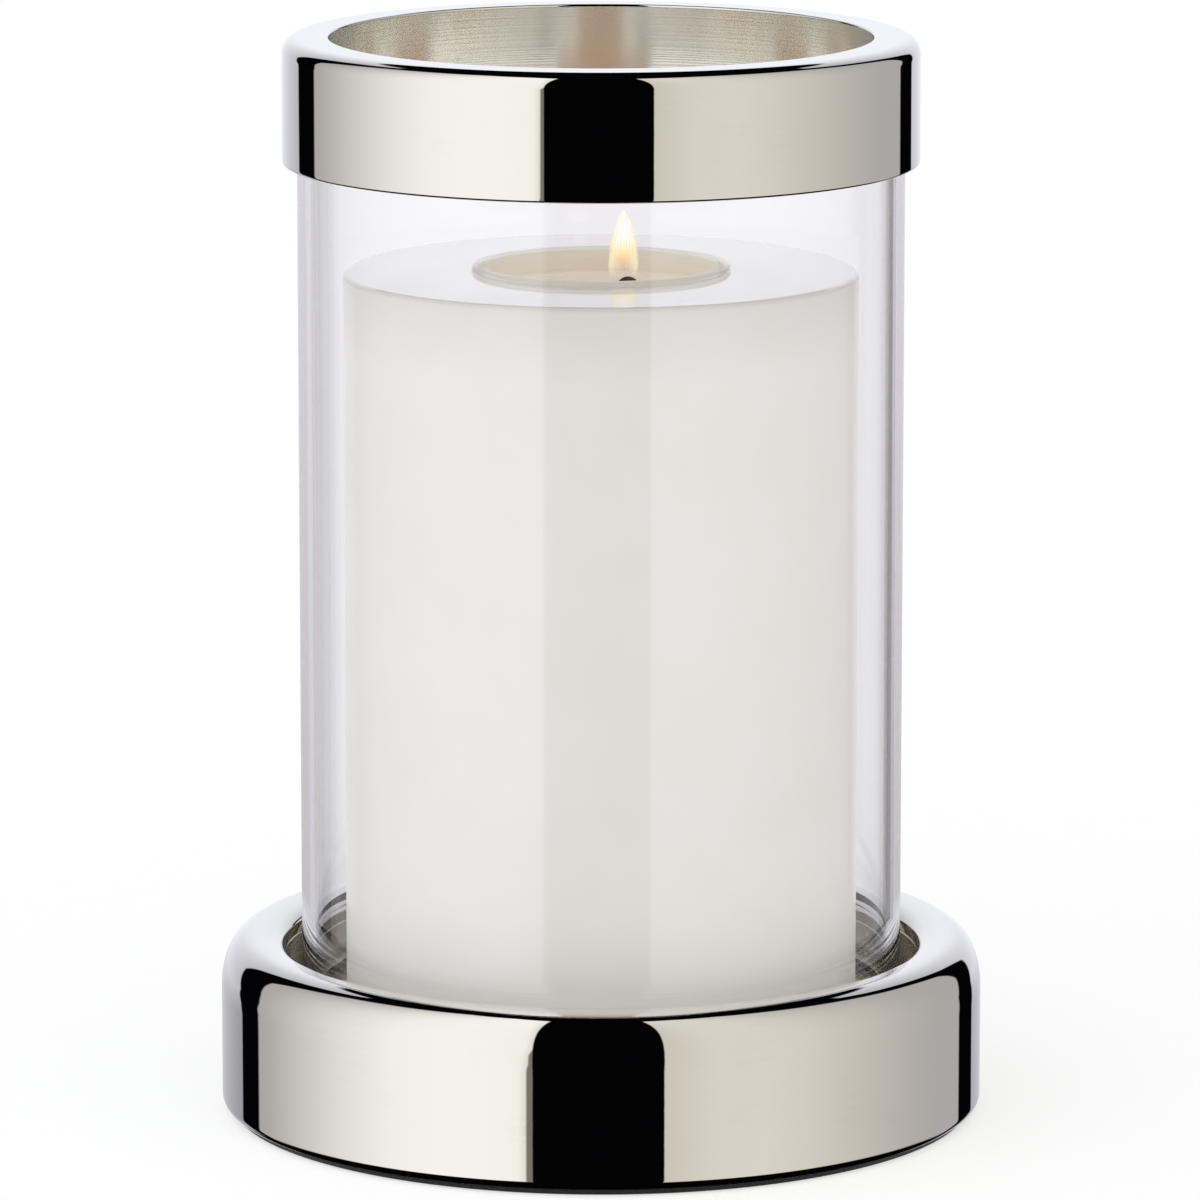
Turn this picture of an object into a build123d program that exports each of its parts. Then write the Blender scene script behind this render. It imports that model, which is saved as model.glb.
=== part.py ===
"""Hurricane candle lantern: a round metal base, a glass cylinder, a metal top ring and a pillar
candle with a clear refill cup. Millimetres, +Z up, origin on the table under the lantern's axis.

Everything is round about Z, so most sub-parts are one profile in the XZ plane, revolved.
Across, each size is worked out from the candle outwards: candle, ring's mouth, glass, recess, base.
Upwards, each piece stands on the one below.
"""
import os
from math import radians, tan

from build123d import *

os.makedirs("parts", exist_ok=True)

# ---------------------------------------------------------------- clearances
seat_gap = 0.3          # between a piece that lifts off and what it rests on
mouth_gap = 2.35        # round the candle where it passes through the ring's mouth
recess_gap = 3.15       # between the glass and the edge of the base's recess
cover_gap = 0.2         # between the base cover's edge and the shell
pad_gap = 0.3           # between the glass's pad and the tray's cove
socket_gap = 0.4        # between the refill cup's wall and its socket in the candle
gasket_gap = 0.3        # between the glass and the legs of the ring's gasket

# ---------------------------------------------------------------- candle and refill cup
candle_diameter = 93.9
candle_height = 134.4
candle_round = 1.0      # round on the candle's edges
socket_chamfer = 0.4
cup_diameter = 44.6     # outside of the cup's wall
cup_wall = 1.1
cup_height = 17.0       # below the flange
cup_flange_width = 1.25
cup_flange_height = 0.8
cup_corner = 2.0        # outside round at the cup's floor
wax_level = 4.5         # cup's rim down to the wax
meniscus = 0.6          # how far the wax climbs the cup's wall
wick_radius = 0.65
wick_offset = 3.4       # the wick stands this far off the axis, towards +X
wick_forward = 0.3      # and this far towards -Y
wick_bend = 1.5         # radius of the wick's curled tip, at its centre line
wick_rise = 0.1         # straight wick above the wax
tab_radius = 7.0        # metal disc that holds the wick
tab_thickness = 0.4
tab_neck_radius = 1.4
tab_neck_height = 3.0

# ---------------------------------------------------------------- glass
glass_wall = 2.5
glass_height = 172.6
glass_polish = 1.1      # fire-polished round on both ends
pad_ring_thickness = 1.0    # clear pad under the glass
pad_ring_reach = 1.1    # how far the pad reaches inside the glass

# ---------------------------------------------------------------- top ring
ring_height = 22.8
ring_wall = 1.2
channel_outer_gap = 1.5     # between the glass and the channel's outer wall
channel_inner_gap = 2.15    # between the glass and the channel's inner wall
ring_shoulder = 3.0     # round on the outer top edge
ring_mouth_round = 0.4  # round on the inner top edge
ring_hem_round = 0.5    # round on the two bottom edges
gasket_web = 2.0        # between the glass's end and the ring
gasket_leg = 5.0
gasket_leg_width = 1.1

# ---------------------------------------------------------------- base
base_height = 32.7      # table to the crest of the shoulder
base_wall = 2.4
foot_round = 1.8        # rounded bottom edge of the shell
shoulder_width = 6.0    # from the outer wall in to the crest
shoulder_drop = 10.0    # from the crest down to where the wall is straight
wall_fullness = 0.74    # share of the drop that the wall stays near upright
crest_fullness = 0.4    # share of the width that the crest stays near level
lip_width = 5.7         # from the crest in to the edge of the recess
lip_drop = 2.6          # from the crest down to the edge of the recess
lip_land = 1.4          # straight inner edge below the lip
cavity_round = 3.0      # inside corner under the shoulder

felt_thickness = 1.0
felt_inset = 2.0        # felt edge inside the base's outline
cover_thickness = 3.0

lug_count = 3
lug_radius = 4.0
lug_height = 12.0
lug_overlap = 0.6       # how far a lug runs into the shell's wall
screw_radius = 1.5
screw_head_radius = 2.8
screw_head_angle = 90.0
screw_length = 10.0

recess_depth = 11.7     # crest of the shoulder to the tray's floor
tray_wall = 1.2
tray_cove = 1.6         # inside radius between floor and wall
tray_flange = 4.0       # width of the flange under the shell's lip
tray_lip_round = 0.8

# ---------------------------------------------------------------- worked-out sizes, across
candle_radius = candle_diameter / 2
cup_radius = cup_diameter / 2
cup_bore = cup_radius - cup_wall
flange_radius = cup_radius + cup_flange_width

ring_hole = candle_radius + mouth_gap
glass_bore = ring_hole + ring_wall + channel_inner_gap
glass_radius = glass_bore + glass_wall
ring_radius = glass_radius + channel_outer_gap + ring_wall
polish = min(glass_polish, 0.45 * glass_wall)

recess_radius = glass_radius + recess_gap
crest_radius = recess_radius + lip_width
base_radius = crest_radius + shoulder_width
cavity_radius = base_radius - base_wall
lug_circle = cavity_radius - lug_radius + lug_overlap
screw_head_height = (screw_head_radius - screw_radius) / tan(radians(screw_head_angle / 2))

# ---------------------------------------------------------------- worked-out sizes, upwards
cover_top = felt_thickness + cover_thickness
lip_height = base_height - lip_drop
land_bottom = lip_height - lip_land
tray_floor = base_height - recess_depth

candle_bottom = tray_floor + seat_gap
candle_top = candle_bottom + candle_height
flange_bottom = candle_top + seat_gap
cup_rim = flange_bottom + cup_flange_height
cup_bottom = flange_bottom - cup_height
cup_floor = cup_bottom + cup_wall
wax_top = cup_rim - wax_level

glass_bottom = tray_floor + pad_ring_thickness + seat_gap
glass_top = glass_bottom + glass_height
web_bottom = glass_top + seat_gap
channel_top = web_bottom + gasket_web
ring_top = channel_top + ring_wall
ring_bottom = ring_top - ring_height

# ================================================================ base

# Shell: outer wall, full shoulder, and a lip that falls to the edge of the recess.
with BuildPart() as base_shell:
    with BuildSketch(Plane.XZ) as shell_profile:
        with BuildLine():
            foot = CenterArc(
                (base_radius - foot_round, felt_thickness + foot_round), foot_round, -90, 90)
            wall = Line(foot @ 1, (base_radius, base_height - shoulder_drop))
            shoulder = Bezier(
                wall @ 1,
                wall @ 1 + Vector(0, wall_fullness * shoulder_drop),
                (crest_radius + crest_fullness * shoulder_width, base_height),
                (crest_radius, base_height),
            )
            lip = EllipticalCenterArc(
                (crest_radius, lip_height), lip_width, lip_drop, 90, arc_size=90)
            land = Line((recess_radius, lip_height), (recess_radius, land_bottom))
            ceiling = Line(land @ 1, (cavity_radius - cavity_round, land_bottom))
            corner = CenterArc(
                (cavity_radius - cavity_round, land_bottom - cavity_round), cavity_round, 90, -90)
            inside = Line(corner @ 1, (cavity_radius, felt_thickness))
            Line(inside @ 1, foot @ 0)
        make_face()
    revolve(axis=Axis.Z)
    # lugs for the cover's screws, grown out of the wall
    with BuildSketch(Plane.XY.offset(cover_top)):
        with PolarLocations(lug_circle, lug_count):
            Circle(lug_radius)
    extrude(amount=lug_height)
    with BuildSketch(Plane.XY.offset(cover_top)):
        with PolarLocations(lug_circle, lug_count):
            Circle(screw_radius)
    extrude(amount=felt_thickness + screw_length - cover_top, mode=Mode.SUBTRACT)
base_shell.part.label = "base_shell"
export_step(base_shell.part, "parts/base_shell.step")

# Tray: a spun dish with a coved corner, its flange fixed under the shell's lip.
with BuildPart() as recess_tray:
    with BuildSketch(Plane.XZ):
        with BuildLine():
            Polyline(
                (0, tray_floor - tray_wall),
                (recess_radius + tray_wall, tray_floor - tray_wall),
                (recess_radius + tray_wall, land_bottom - tray_wall),
                (recess_radius + tray_wall + tray_flange, land_bottom - tray_wall),
                (recess_radius + tray_wall + tray_flange, land_bottom),
                (recess_radius, land_bottom),
                (recess_radius, tray_floor),
                (0, tray_floor),
                close=True,
            )
        make_face()
    revolve(axis=Axis.Z)
    rings = recess_tray.edges().filter_by(GeomType.CIRCLE)
    inner = rings.filter_by(lambda edge: abs(edge.radius - recess_radius) < tray_wall / 2)
    fillet(inner.sort_by(Axis.Z)[0], tray_cove)
    fillet(inner.sort_by(Axis.Z)[-1], tray_lip_round)
    outer = recess_tray.edges().filter_by(GeomType.CIRCLE).sort_by(Axis.Z)[0]
    fillet(outer, tray_cove + tray_wall)
recess_tray.part.label = "recess_tray"
export_step(recess_tray.part, "parts/recess_tray.step")

# Clear pad ring on the tray's floor, under the glass.
with BuildPart() as glass_pad:
    with BuildSketch(Plane.XY.offset(tray_floor)):
        Circle(recess_radius - tray_cove - pad_gap)
        Circle(glass_bore - pad_ring_reach, mode=Mode.SUBTRACT)
    extrude(amount=pad_ring_thickness)
glass_pad.part.label = "glass_pad"
export_step(glass_pad.part, "parts/glass_pad.step")

# Cover: a board that closes the base from below, screwed to the lugs.
with BuildPart() as base_cover:
    with BuildSketch(Plane.XY.offset(felt_thickness)):
        Circle(cavity_radius - cover_gap)
    extrude(amount=cover_thickness)
    with Locations(base_cover.faces().sort_by(Axis.Z)[0]):
        with PolarLocations(lug_circle, lug_count):
            CounterSinkHole(
                screw_radius, screw_head_radius, counter_sink_angle=screw_head_angle)
base_cover.part.label = "base_cover"
export_step(base_cover.part, "parts/base_cover.step")

with BuildPart(Plane.XY.offset(felt_thickness)) as cover_screws:
    with PolarLocations(lug_circle, lug_count):
        Cylinder(screw_radius, screw_length, align=(Align.CENTER, Align.CENTER, Align.MIN))
        Cone(screw_head_radius, screw_radius, screw_head_height,
             align=(Align.CENTER, Align.CENTER, Align.MIN))
cover_screws.part.label = "cover_screws"
export_step(cover_screws.part, "parts/cover_screws.step")

with BuildPart() as foot_pad:
    with BuildSketch():
        Circle(base_radius - felt_inset)
    extrude(amount=felt_thickness)
foot_pad.part.label = "foot_pad"
export_step(foot_pad.part, "parts/foot_pad.step")

# ================================================================ glass

with BuildPart() as glass_cylinder:
    with BuildSketch(Plane.XZ):
        with Locations(((glass_radius + glass_bore) / 2, (glass_bottom + glass_top) / 2)):
            RectangleRounded(glass_wall, glass_height, polish)
    revolve(axis=Axis.Z)
glass_cylinder.part.label = "glass_cylinder"
export_step(glass_cylinder.part, "parts/glass_cylinder.step")

# ================================================================ top ring

# A channel, open below, that drops over the end of the glass.
with BuildPart() as top_ring:
    with BuildSketch(Plane.XZ):
        with BuildLine():
            Polyline(
                (ring_radius, ring_bottom),
                (ring_radius, ring_top),
                (ring_hole, ring_top),
                (ring_hole, ring_bottom),
                (ring_hole + ring_wall, ring_bottom),
                (ring_hole + ring_wall, channel_top),
                (ring_radius - ring_wall, channel_top),
                (ring_radius - ring_wall, ring_bottom),
                close=True,
            )
        make_face()
        top_corners = vertices().group_by(Axis.Y)[-1].sort_by(Axis.X)
        fillet(top_corners[-1], ring_shoulder)
        fillet(top_corners[0], min(ring_mouth_round, 0.9 * ring_wall))
        channel_corners = vertices().filter_by_position(Axis.Y, channel_top, channel_top)
        fillet(channel_corners.sort_by(Axis.X)[-1], ring_shoulder - ring_wall)
        hem_corners = vertices().filter_by_position(Axis.Y, ring_bottom, ring_bottom)
        fillet(hem_corners, min(ring_hem_round, 0.45 * ring_wall))
    revolve(axis=Axis.Z)
top_ring.part.label = "top_ring"
export_step(top_ring.part, "parts/top_ring.step")

# Gasket: a soft cap over the glass's end, held in the channel and centring the ring.
with BuildPart() as ring_gasket:
    with BuildSketch(Plane.XZ):
        inner_leg = glass_bore - gasket_gap
        outer_leg = glass_radius + gasket_gap
        with BuildLine():
            Polyline(
                (inner_leg - gasket_leg_width, channel_top),
                (ring_radius - ring_shoulder, channel_top),
                (ring_radius - ring_wall, channel_top - ring_shoulder + ring_wall),
                (ring_radius - ring_wall, web_bottom - gasket_leg),
                (outer_leg, web_bottom - gasket_leg),
                (outer_leg, web_bottom),
                (inner_leg, web_bottom),
                (inner_leg, web_bottom - gasket_leg),
                (inner_leg - gasket_leg_width, web_bottom - gasket_leg),
                close=True,
            )
        make_face()
    revolve(axis=Axis.Z)
ring_gasket.part.label = "ring_gasket"
export_step(ring_gasket.part, "parts/ring_gasket.step")

# ================================================================ candle

with BuildPart() as candle_body:
    with BuildSketch(Plane.XZ):
        with BuildLine():
            Polyline(
                (0, candle_bottom),
                (candle_radius, candle_bottom),
                (candle_radius, candle_top),
                (cup_radius + socket_gap, candle_top),
                (cup_radius + socket_gap, cup_bottom - seat_gap),
                (0, cup_bottom - seat_gap),
                close=True,
            )
        make_face()
        fillet(vertices().group_by(Axis.X)[-1], candle_round)
    revolve(axis=Axis.Z)
    mouth = candle_body.edges().filter_by(GeomType.CIRCLE).group_by(Axis.Z)[-1].sort_by(SortBy.RADIUS)[0]
    chamfer(mouth, socket_chamfer)
candle_body.part.label = "candle_body"
export_step(candle_body.part, "parts/candle_body.step")

# ================================================================ refill cup

# Cup: a clear thin wall with a flange that hangs on the candle's top.
with BuildPart() as refill_cup:
    with BuildSketch(Plane.XZ):
        with BuildLine():
            Polyline(
                (0, cup_bottom),
                (cup_radius, cup_bottom),
                (cup_radius, flange_bottom),
                (flange_radius, flange_bottom),
                (flange_radius, cup_rim),
                (cup_bore, cup_rim),
                (cup_bore, cup_floor),
                (0, cup_floor),
                close=True,
            )
        make_face()
        fillet(vertices().group_by(Axis.Y)[-1].sort_by(Axis.X)[-1], 0.8 * cup_flange_height)
        fillet(vertices().group_by(Axis.Y)[-1].sort_by(Axis.X)[0], 0.4 * cup_wall)
        fillet(vertices().group_by(Axis.Y)[0].sort_by(Axis.X)[-1], cup_corner)
        floor_corners = vertices().filter_by_position(Axis.Y, cup_floor, cup_floor)
        fillet(floor_corners.sort_by(Axis.X)[-1], cup_corner - cup_wall)
    revolve(axis=Axis.Z)
refill_cup.part.label = "refill_cup"
export_step(refill_cup.part, "parts/refill_cup.step")

# Tab: the metal disc on the cup's floor, with a crimped neck round the wick.
with BuildPart(Plane.XY.offset(cup_floor)) as wick_tab:
    with Locations((wick_offset, -wick_forward)):
        Cylinder(tab_radius, tab_thickness, align=(Align.CENTER, Align.CENTER, Align.MIN))
        Cylinder(tab_neck_radius, tab_neck_height, align=(Align.CENTER, Align.CENTER, Align.MIN))
        Cylinder(wick_radius, tab_neck_height, align=(Align.CENTER, Align.CENTER, Align.MIN),
                 mode=Mode.SUBTRACT)
wick_tab.part.label = "wick_tab"
export_step(wick_tab.part, "parts/wick_tab.step")

# Wick: straight up through the wax, then curled over at the burnt tip.
with BuildPart() as wick:
    with BuildLine() as wick_route:
        stem = Line(
            (wick_offset, -wick_forward, cup_floor),
            (wick_offset, -wick_forward, wax_top + wick_rise),
        )
        with BuildLine(Plane.XZ.offset(wick_forward)):
            CenterArc((wick_offset + wick_bend, wax_top + wick_rise), wick_bend, 180, -150)
    with BuildSketch(Plane((wick_offset, -wick_forward, cup_floor))):
        Circle(wick_radius)
    sweep(path=wick_route.line)
wick.part.label = "wick"
export_step(wick.part, "parts/wick.step")

# Wax: fills the cup, climbs its wall a little, and closes round the tab and the wick.
with BuildPart() as cup_wax:
    with BuildSketch(Plane.XZ):
        with BuildLine():
            Line((0, cup_floor), (cup_bore - cup_corner + cup_wall, cup_floor))
            CenterArc((cup_bore - cup_corner + cup_wall, cup_floor + cup_corner - cup_wall),
                      cup_corner - cup_wall, -90, 90)
            Polyline(
                (cup_bore, cup_floor + cup_corner - cup_wall),
                (cup_bore, wax_top + meniscus),
            )
            CenterArc((cup_bore - meniscus, wax_top + meniscus), meniscus, 0, -90)
            Polyline((cup_bore - meniscus, wax_top), (0, wax_top), (0, cup_floor))
        make_face()
    revolve(axis=Axis.Z)
    add(wick_tab.part, mode=Mode.SUBTRACT)
    add(wick.part, mode=Mode.SUBTRACT)
cup_wax.part.label = "cup_wax"
export_step(cup_wax.part, "parts/cup_wax.step")
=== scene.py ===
# %% [markdown]
# # Hurricane candle lantern
#
# A polished nickel base holds a clear glass cylinder, a nickel ring caps the glass, and a thick
# ivory pillar candle burns inside. Almost every piece is round about one upright axis, so the
# lesson is mostly about lathe work: draw half an outline, spin it, and give it a good finish.
#
# The CAD model gives the places and the main sizes. This script gives the looks.

# %% Load the frame
from math import pi, radians, tau

import bpy
import numpy as np
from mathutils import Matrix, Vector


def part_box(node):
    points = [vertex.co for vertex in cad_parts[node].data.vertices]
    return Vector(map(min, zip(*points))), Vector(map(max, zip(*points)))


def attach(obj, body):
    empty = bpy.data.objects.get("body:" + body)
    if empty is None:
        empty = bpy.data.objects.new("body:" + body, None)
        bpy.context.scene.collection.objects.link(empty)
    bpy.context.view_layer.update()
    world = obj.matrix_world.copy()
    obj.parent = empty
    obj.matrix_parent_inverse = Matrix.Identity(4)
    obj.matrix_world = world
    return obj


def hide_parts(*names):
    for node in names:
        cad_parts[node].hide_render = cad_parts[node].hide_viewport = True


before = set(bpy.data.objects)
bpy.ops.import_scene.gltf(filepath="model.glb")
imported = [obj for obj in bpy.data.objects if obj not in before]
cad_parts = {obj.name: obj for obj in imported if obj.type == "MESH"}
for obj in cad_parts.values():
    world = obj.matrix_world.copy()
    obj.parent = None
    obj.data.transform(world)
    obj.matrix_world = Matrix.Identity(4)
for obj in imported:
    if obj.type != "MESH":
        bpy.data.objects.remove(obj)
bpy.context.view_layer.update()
print("nodes:", sorted(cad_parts))

# %% [markdown]
# ## Sizes
#
# The boxes of the CAD nodes give each piece's radius and heights. What a box can't tell, such as a
# wall's thickness or a round on an edge, is repeated here with the name that it has in the CAD
# source. Everything is in metres, so small lengths are written as a number times mm.

# %% Sizes read from the frame
mm = 0.001


def radius_and_heights(node):
    """A round node's outer radius, bottom and top, in metres."""
    low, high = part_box(node)
    return high.x, low.z, high.z


base_radius, base_bottom, base_top = radius_and_heights("base_shell")
glass_radius, glass_bottom, glass_top = radius_and_heights("glass_cylinder")
ring_radius, ring_bottom, ring_top = radius_and_heights("top_ring")
candle_radius, candle_bottom, candle_top = radius_and_heights("candle_body")
flange_radius, cup_bottom, cup_rim = radius_and_heights("refill_cup")
cup_bore, cup_floor, wax_edge = radius_and_heights("cup_wax")
felt_radius, felt_bottom, felt_top = radius_and_heights("foot_pad")
pad_radius, tray_floor, pad_top = radius_and_heights("glass_pad")
gasket_low, gasket_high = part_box("ring_gasket")
print(f"base {base_radius / mm:.1f} mm in radius, ring's top at {ring_top / mm:.1f} mm")

# %% Sizes that the boxes don't hold
mouth_gap = 2.35 * mm          # candle to the ring's mouth
recess_gap = 3.15 * mm         # glass to the edge of the recess
glass_wall = 2.5 * mm
glass_polish = 1.1 * mm
ring_wall = 1.2 * mm
ring_shoulder = 3.0 * mm
ring_mouth_round = 0.4 * mm
ring_hem_round = 0.5 * mm
base_wall = 2.4 * mm
foot_round = 1.8 * mm
shoulder_width = 6.0 * mm
shoulder_drop = 10.0 * mm
wall_fullness = 0.74           # share of the drop that the wall stays near upright
crest_fullness = 0.4           # share of the width that the crest stays near level
lip_width = 5.7 * mm
lip_drop = 2.6 * mm
lip_land = 1.4 * mm
cavity_round = 3.0 * mm
tray_wall = 1.2 * mm
tray_cove = 1.6 * mm
tray_flange = 4.0 * mm
tray_lip_round = 0.8 * mm
pad_reach = 1.1 * mm           # how far the glass's pad reaches inside the glass
candle_round = 1.0 * mm
cup_wall = 1.1 * mm
cup_flange_height = 0.8 * mm
cup_corner = 2.0 * mm
socket_gap = 0.4 * mm
seat_gap = 0.3 * mm            # between a piece that lifts off and what it rests on
gasket_gap = 0.3 * mm
gasket_leg_width = 1.1 * mm
socket_chamfer = 0.4 * mm
meniscus = 0.6 * mm
wick_radius = 0.65 * mm
wick_bend = 1.5 * mm
wick_rise = 0.1 * mm           # straight wick above the wax

glass_bore = glass_radius - glass_wall
ring_hole = candle_radius + mouth_gap
recess_radius = glass_radius + recess_gap
crest_radius = base_radius - shoulder_width
lip_height = base_top - lip_drop
land_bottom = lip_height - lip_land
cavity_radius = base_radius - base_wall
cup_radius = cup_bore + cup_wall
wax_top = wax_edge - meniscus

# %% [markdown]
# ## Outlines and the lathe
#
# A round piece is half an outline carried once round the Z axis. The outline is a list of
# (radius, height) points, and each stretch of it is a straight line, an arc or a Bezier curve.
# A mirror finish shows every fault in the shading, so each stretch crowds its points near its
# ends: the last short faces hold the surface's direction right up to the join.

# %% Stretches of an outline
def crowded(count):
    """Numbers from 0 to just under 1 that crowd near both ends: half of 1 minus cos(pi k / count)."""
    return (1 - np.cos(pi * np.arange(count) / count)) / 2


def straight(start, end, count=10):
    """Points from start towards end, without end: start + t (end - start)."""
    t = crowded(count)[:, None]
    return np.array(start) * (1 - t) + np.array(end) * t


def bend(centre, across, up, first, last, count=20):
    """An elliptical arc without its last point: centre + (across cos a, up sin a), a in degrees."""
    a = np.radians(first + (last - first) * np.arange(count) / count)
    return np.column_stack((centre[0] + across * np.cos(a), centre[1] + up * np.sin(a)))


def bezier(p0, p1, p2, p3, count=64):
    """A cubic Bezier without its last point: the four points weighted by the Bernstein terms."""
    t = (np.arange(count) / count)[:, None]
    weights = np.hstack(((1 - t) ** 3, 3 * t * (1 - t) ** 2, 3 * t**2 * (1 - t), t**3))
    return weights @ np.array([p0, p1, p2, p3])


HUB = 0.2 * mm                 # radius of the first ring of points round a pole


def draw(here, *stretches):
    """An outline that sets off from the point here and leaves out its last point.

    A stretch (r, z, count) is a straight line to (r, z), and one that starts or ends on the axis
    keeps its pole. A stretch (radius, first, last, count) is an arc that begins at the point
    reached, its angles in degrees: the centre lies at that point - radius (cos first, sin first).
    """
    here, parts = np.array(here, float), []
    least = (HUB, -np.inf)     # the least radius and height of a line's points
    for *shape, count in stretches:
        if len(shape) == 2:
            there = np.array(shape, float)
            if here[0] == 0:
                parts.append([here])
            parts.append(straight(np.maximum(here, least), np.maximum(there, least), count))
            if there[0] == 0:
                parts.append([there])
            here = there
        else:
            radius, first, last = shape
            ends = radius * np.array([(np.cos(a), np.sin(a)) for a in np.radians((first, last))])
            parts.append(bend(here - ends[0], radius, radius, first, last, count))
            here = here - ends[0] + ends[1]
    return np.vstack(parts)


# %% The lathe
AROUND = 512                   # faces round a full turn on the large pieces
FEWER = 256                    # and on the small or hidden ones


def grid_faces(rows, columns, wrap):
    """Corner numbers of the quads on a grid of points that closes round its columns.

    With wrap it closes round its rows too.
    """
    row = np.arange(rows if wrap else rows - 1)[:, None]
    column = np.arange(columns)[None, :]
    up = (row + 1) % rows
    side = (column + 1) % columns
    corners = (row * columns + column, row * columns + side, up * columns + side, up * columns + column)
    return np.stack(corners, axis=-1).reshape(-1, 4)


def new_piece(name, points, faces, sharp=35):
    """A mesh object from numpy arrays, smooth except across edges sharper than sharp degrees."""
    mesh = bpy.data.meshes.new(name)
    mesh.from_pydata(points.tolist(), [], [list(f) for f in faces])
    mesh.validate()
    mesh.shade_smooth()
    mesh.set_sharp_from_angle(angle=radians(sharp))
    piece = bpy.data.objects.new(name, mesh)
    bpy.context.scene.collection.objects.link(piece)
    return piece


def close_ends(grid_rows, around, first, last):
    """Triangles that close a grid's first and last rings in the points numbered first and last."""
    here, there = np.arange(around), (np.arange(around) + 1) % around
    top = (grid_rows - 1) * around
    return (np.column_stack((there, here, here * 0 + first)).tolist()
            + np.column_stack((top + here, top + there, here * 0 + last)).tolist())


def lathe(name, outline, around=AROUND):
    """Spins an outline about Z: point i at angle a is (r_i cos a, r_i sin a, z_i).

    An outline that starts and ends on the axis closes in two poles, and any other on itself.
    """
    outline = np.asarray(outline)
    poled = outline[0, 0] == 0
    body = outline[1:-1] if poled else outline
    a = np.arange(around) * tau / around
    r, z = body[:, :1], body[:, 1:]
    grid = np.stack((r * np.cos(a), r * np.sin(a), z + 0 * a), axis=-1).reshape(-1, 3)
    faces = grid_faces(len(body), around, wrap=not poled).tolist()
    if poled:
        grid = np.vstack((grid, [[0, 0, outline[0, 1]], [0, 0, outline[-1, 1]]]))
        faces += close_ends(len(body), around, len(grid) - 2, len(grid) - 1)
    piece = new_piece(name, grid, faces)
    print(f"{name}: {len(grid)} points, {len(faces)} faces")
    return piece


def finish_with(piece, body, slot, materials, *nodes):
    """Gives a piece its materials and its CAD body, and hides the nodes it replaces. The slot is not
    used.
    """
    for material in materials:
        piece.data.materials.append(material)
    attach(piece, body)
    if nodes:
        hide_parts(*nodes)


# %% [markdown]
# ## Small tools for materials
#
# A material is a little network of nodes. The helper below adds a node, sets its values and links
# its inputs in one line, so a material reads from top to bottom like a recipe.

# %% Node helpers
def add(tree, kind, inputs=None, **settings):
    """Adds a node to a tree. Each input is a plain value or the socket that feeds it."""
    node = tree.nodes.new(kind)
    for key, value in settings.items():
        setattr(node, key, value)
    for key, value in (inputs or {}).items():
        if isinstance(value, bpy.types.NodeSocket):
            tree.links.new(value, node.inputs[key])
        else:
            node.inputs[key].default_value = value
    return node


def calc(tree, operation, *values, clamp=False):
    """A Math node's result."""
    return add(tree, "ShaderNodeMath", dict(enumerate(values)),
               operation=operation, use_clamp=clamp).outputs[0]


def remap(tree, value, low, high, to_low=0.0, to_high=1.0, smooth=False):
    """Takes value from low..high to to_low..to_high, clamped, straight or with soft ends."""
    return add(tree, "ShaderNodeMapRange",
               {0: value, 1: low, 2: high, 3: to_low, 4: to_high},
               interpolation_type="SMOOTHSTEP" if smooth else "LINEAR").outputs[0]


def blend_colours(tree, share, first, second):
    """The first colour where share is 0 and the second where it is 1."""
    return add(tree, "ShaderNodeMix", {0: share, 6: first, 7: second}, data_type="RGBA").outputs[2]


def rgb(red, green, blue):
    """A colour as Blender takes it, from display values of 0 to 255."""
    share = np.array([red, green, blue]) / 255
    linear = np.where(share <= 0.04045, share / 12.92, ((share + 0.055) / 1.055) ** 2.4)
    return (*linear.tolist(), 1.0)


def new_material(name):
    """A material with an empty tree and its output node."""
    material = bpy.data.materials.new(name)
    material.use_nodes = True
    tree = material.node_tree
    tree.nodes.clear()
    return material, tree, tree.nodes.new("ShaderNodeOutputMaterial")


def new_group(name, inputs, outputs):
    """A shader node group with named sockets. Inputs are (name, kind, value), outputs (name, kind)."""
    group = bpy.data.node_groups.new(name, "ShaderNodeTree")
    for socket, kind, value in inputs:
        made = group.interface.new_socket(socket, in_out="INPUT", socket_type=kind)
        made.default_value = value
    for socket, kind in outputs:
        group.interface.new_socket(socket, in_out="OUTPUT", socket_type=kind)
    return group, group.nodes.new("NodeGroupInput").outputs, group.nodes.new("NodeGroupOutput").inputs


def use_group(tree, group, inputs=None):
    """Places a group in a material and returns its outputs."""
    return add(tree, "ShaderNodeGroup", inputs, node_tree=group).outputs


def bump(tree, height, strength, distance):
    """The direction of a surface whose small heights follow a value."""
    return add(tree, "ShaderNodeBump",
               {"Height": height, "Strength": strength, "Distance": distance}).outputs[0]


def end_in(tree, output, kind, inputs):
    """Adds the shader that a material ends in and links it to the output."""
    tree.links.new(add(tree, kind, inputs).outputs[0], output.inputs[0])


def own_place(tree):
    """The point on the piece in the piece's own space, in metres."""
    return add(tree, "ShaderNodeTexCoord").outputs["Object"]


def own_height(tree):
    """The height of that point."""
    return add(tree, "ShaderNodeSeparateXYZ", {0: own_place(tree)}).outputs[2]


FLOAT, COLOUR = "NodeSocketFloat", "NodeSocketColor"
PRINCIPLED = "ShaderNodeBsdfPrincipled"

# %% [markdown]
# ## Handling marks
#
# Polished metal is never quite even: it has faint wipe marks and a slight haze that you only see
# where a reflection breaks up. One group makes this from two noise patterns, and the mirror metal
# and the glass both use it, each with its own strength.

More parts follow.
